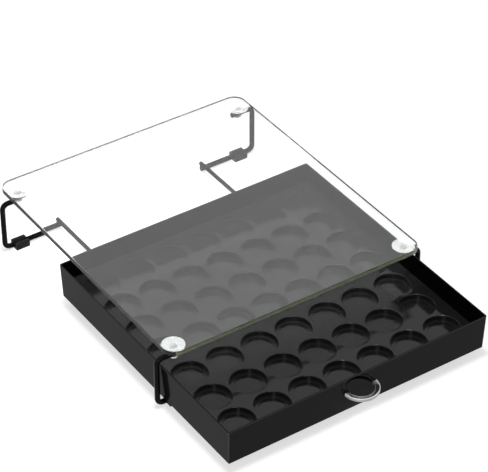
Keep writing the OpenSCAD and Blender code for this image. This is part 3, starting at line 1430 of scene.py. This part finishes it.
@dataclass
class HandleScrews:
    """Two pan-head screws with a cross recess, driven from inside the front wall."""

    head: float = 2.2
    head_tall: float = 1.5
    seat_round: float = 0.15
    side_tall: float = 0.7
    side_round: float = 0.5
    crown: float = 0.72
    """Radius of the head's crown, as a share of the head's."""
    crown_round: float = 0.9
    head_arc_steps: int = 5
    head_spokes: int = 48

    recess_wide: float = 0.55
    recess_long: float = 1.25
    recess_deep: float = 0.95
    recess_foot: float = 0.45
    """Size of the recess at its foot, as a share of its size near the top."""
    blade_past: float = 0.2
    blade_top: float = 1.1

    core: float = 0.92
    thread: float = 1.2
    pitch: float = 0.8
    crest_sharp: float = 3.4
    tip_blunt: float = 0.25
    tip_long: float = 1.2
    sunk: float = 0.1
    """How far the shank goes into the head."""
    rings_per_pitch: int = 8
    spokes: int = 28
    crease: float = 30

    def head_outline(self, length: float) -> list[Point]:
        """Draw half the section of the pan head.

        Args:
            length: The screw's whole length.

        Returns:
            Its points as (radius, height over the tip), from the seat to the crown.
        """
        seat = length - self.head_tall
        flesh = [
            (0, seat, 0),
            (self.head, seat, self.seat_round),
            (self.head, seat + self.side_tall, self.side_round),
            (self.head * self.crown, length, self.crown_round),
            (0, length, 0),
        ]
        return fillet(flesh, self.head_arc_steps, closed=False)

    def blade(self, length: float, turn: float) -> Object:
        """Build one tapered blade of the cutter for the cross recess.

        Args:
            length: The screw's whole length.
            turn: The blade's angle round the axis, in radians.

        Returns:
            The blade.
        """
        ends = (
            (-self.recess_deep, self.recess_foot),
            (self.blade_past, self.blade_top),
        )
        form = bmesh.new()
        loops = []
        for rise, share in ends:
            long, wide = self.recess_long * share, self.recess_wide / 2 * share
            corners = rectangle((-long, -wide), (long, wide))
            points = [turned(x, y, turn) for x, y, _ in corners]
            loops.append([Vector((x, y, length + rise)) * MM for x, y in points])
        loft(form, loops)
        return as_object("blade", form)

    def shank(self, length: float) -> Object:
        """Build the shank with its helical thread.

        Args:
            length: The screw's whole length.

        Returns:
            The shank, its tip at the origin.
        """
        form = bmesh.new()
        seat = length - self.head_tall + self.sunk
        rings = int(seat / self.pitch * self.rings_per_pitch)
        loops = []
        for i in range(rings + 1):
            height = seat * i / rings
            tip = min(1.0, (height + self.tip_blunt) / self.tip_long)
            loop = []
            for k in range(self.spokes):
                phase = (height / self.pitch - k / self.spokes) % 1
                crest = max(0.0, 1 - abs(phase - 0.5) * self.crest_sharp)
                radius = (self.core + (self.thread - self.core) * crest) * tip
                turn = math.tau * k / self.spokes
                x, y = radius * math.cos(turn), radius * math.sin(turn)
                loop.append(Vector((x, y, height)) * MM)
            loops.append(loop)
        loft(form, loops)
        return as_object("shank", form)

    def screw(self, side: Side) -> Object:
        """Build one screw in its place, its head towards the drawer's inside.

        Args:
            side: The side that it is on.

        Returns:
            The screw.
        """
        node = f"handle_screw_{side.word}"
        low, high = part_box(node)
        length = (high.y - low.y) / MM
        outline = self.head_outline(length)
        head = lathe(f"pan_head_{side.word}", outline, Vector(), self.head_spokes)
        for turn in (0, math.pi / 2):
            bore(head, self.blade(length, turn))
        form = bmesh.new()
        for half in (head, self.shank(length)):
            form.from_mesh(half.data)
            bpy.data.objects.remove(half)
        screw = as_object(f"screw_{side.word}", form)
        centre = middle(node)
        place = Vector((centre.x, low.y, centre.z))
        for vert in screw.data.vertices:
            x, y, z = vert.co
            vert.co = place + Vector((x, z, -y))
        return screw

    def build(self) -> list[Object]:
        """Build both screws and dress them.

        Returns:
            The new pieces.
        """
        zinc = ZincPlate().make()
        screws = []
        for side in Side:
            screw = self.screw(side)
            keep_creases(screw, self.crease)
            dress(screw, zinc)
            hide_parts(f"handle_screw_{side.word}")
            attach(screw, "drawer")
            screws.append(screw)
        return screws


# ---- Studio ---------------------------------------------------------------------


def mount(data: bpy.types.ID, place: Vector, back: Vector) -> Object:
    """Mount a lamp or a camera in the scene.

    Args:
        data: The lamp or camera, which gives the object its name.
        place: Where it stands, in metres.
        back: The direction that it turns its back to.

    Returns:
        The new object.
    """
    made = bpy.data.objects.new(data.name, data)
    made.location = place
    made.rotation_euler = (-back).to_track_quat("-Z", "Y").to_euler()
    bpy.context.scene.collection.objects.link(made)
    return made


@dataclass(frozen=True)
class Lamp:
    """A soft square lamp, in metres and watts, that faces the object."""

    name: str
    place: Triple
    size: float
    power: float

    def hang(self) -> None:
        """Hang the lamp."""
        light = bpy.data.lights.new(self.name, "AREA")
        light.size = self.size
        light.energy = self.power
        mount(light, Vector(self.place), Vector(self.place))


@dataclass(frozen=True)
class Viewpoint:
    """The camera, placed in metres and turned in degrees."""

    place: Triple = (-1.0930, -1.6224, 1.5800)
    azimuth: float = -34.12
    elevation: float = 37.31
    lens: float = 170.06
    sensor: float = 36
    clip_end: float = 20

    def set_up(self) -> None:
        """Set up the camera and make it the scene's own."""
        camera = bpy.data.cameras.new("camera")
        camera.sensor_width = self.sensor
        camera.lens = self.lens
        camera.clip_end = self.clip_end
        azimuth, elevation = math.radians(self.azimuth), math.radians(self.elevation)
        flat = math.cos(elevation)
        back = Vector((math.sin(azimuth) * flat, -math.cos(azimuth) * flat, 0))
        back.z = math.sin(elevation)
        bpy.context.scene.camera = mount(camera, Vector(self.place), back)


@dataclass
class Studio:
    """Pale floor, white room, soft lamps and the camera.

    The room is as bright as its walls up to walls_end and as its zenith from
    zenith_starts, both by the upward part of the direction that is looked in.
    """

    lamps: tuple[Lamp, ...] = (
        Lamp("key", place=(-0.16, -0.20, 2.4), size=0.35, power=36),
        Lamp("fill", place=(-1.3, -1.5, 1.3), size=0.6, power=11),
    )
    view: Viewpoint = Viewpoint()
    floor_colour: Colour = (0.48, 0.48, 0.48)
    floor_lift: float = 0.6
    floor_reach: float = 6.0
    """Half of the floor's side, in metres."""
    sky: float = 0.3
    walls: float = 1.0
    walls_end: float = 0.7
    zenith: float = 0.35
    zenith_starts: float = 0.95

    def build(self) -> None:
        """Build the floor, the light and the camera."""
        self.floor()
        self.world()
        for lamp in self.lamps:
            lamp.hang()
        self.view.set_up()
        bpy.context.scene.view_settings.view_transform = "Standard"

    def floor(self) -> None:
        """Lay a floor that reads as white and keeps the object's shadow."""
        form = bmesh.new()
        bmesh.ops.create_grid(form, x_segments=2, y_segments=2, size=self.floor_reach)
        floor = as_object("floor", form)
        graph = ShaderGraph("floor")
        matt = graph.node("ShaderNodeBsdfDiffuse", {"Color": self.floor_colour})
        inputs = {0: graph.seen(), 1: self.floor_lift}
        strength = graph.node("ShaderNodeMath", inputs, operation="MULTIPLY")
        inputs = {"Color": WHITE, "Strength": strength.outputs["Value"]}
        glow = graph.node("ShaderNodeEmission", inputs)
        inputs = {0: matt.outputs["BSDF"], 1: glow.outputs["Emission"]}
        total = graph.node("ShaderNodeAddShader", inputs)
        graph.feed(graph.output.inputs["Surface"], total.outputs["Shader"])
        dress(floor, graph.material)

    def world(self) -> None:
        """Make a white room that darkens overhead, and a plain soft light.

        The room is for rays that show the backdrop, and the soft light for the others.
        """
        world = bpy.data.worlds.new("studio")
        bpy.context.scene.world = world
        world.use_nodes = True
        graph = NodeGraph(world.node_tree)
        toward = graph.node("ShaderNodeTexCoord").outputs["Generated"]
        parts = graph.node("ShaderNodeSeparateXYZ", {"Vector": toward})
        room = graph.spread(
            parts.outputs["Z"],
            self.walls,
            self.zenith,
            start=self.walls_end,
            end=self.zenith_starts,
        )
        level = graph.spread(graph.seen(), self.sky, room, start=0, end=1)
        back = graph.tree.nodes["Background"]
        graph.feed(back.inputs["Color"], WHITE)
        graph.feed(back.inputs["Strength"], level)


def main() -> None:
    """Build the drawer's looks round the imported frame, and report each piece."""
    logging.basicConfig(level=logging.INFO, format="%(name)s: %(message)s")
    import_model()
    Studio().build()
    parts = (
        GlassTop(),
        SuctionCups(),
        WireStand(),
        RubberFeet(),
        Drawer(),
        PullHandle(),
        HandleScrews(),
    )
    for part in parts:
        for piece in part.build():
            LOG.info("%s: %s", type(part).__name__, piece.name)


if __name__ == "__main__":
    main()
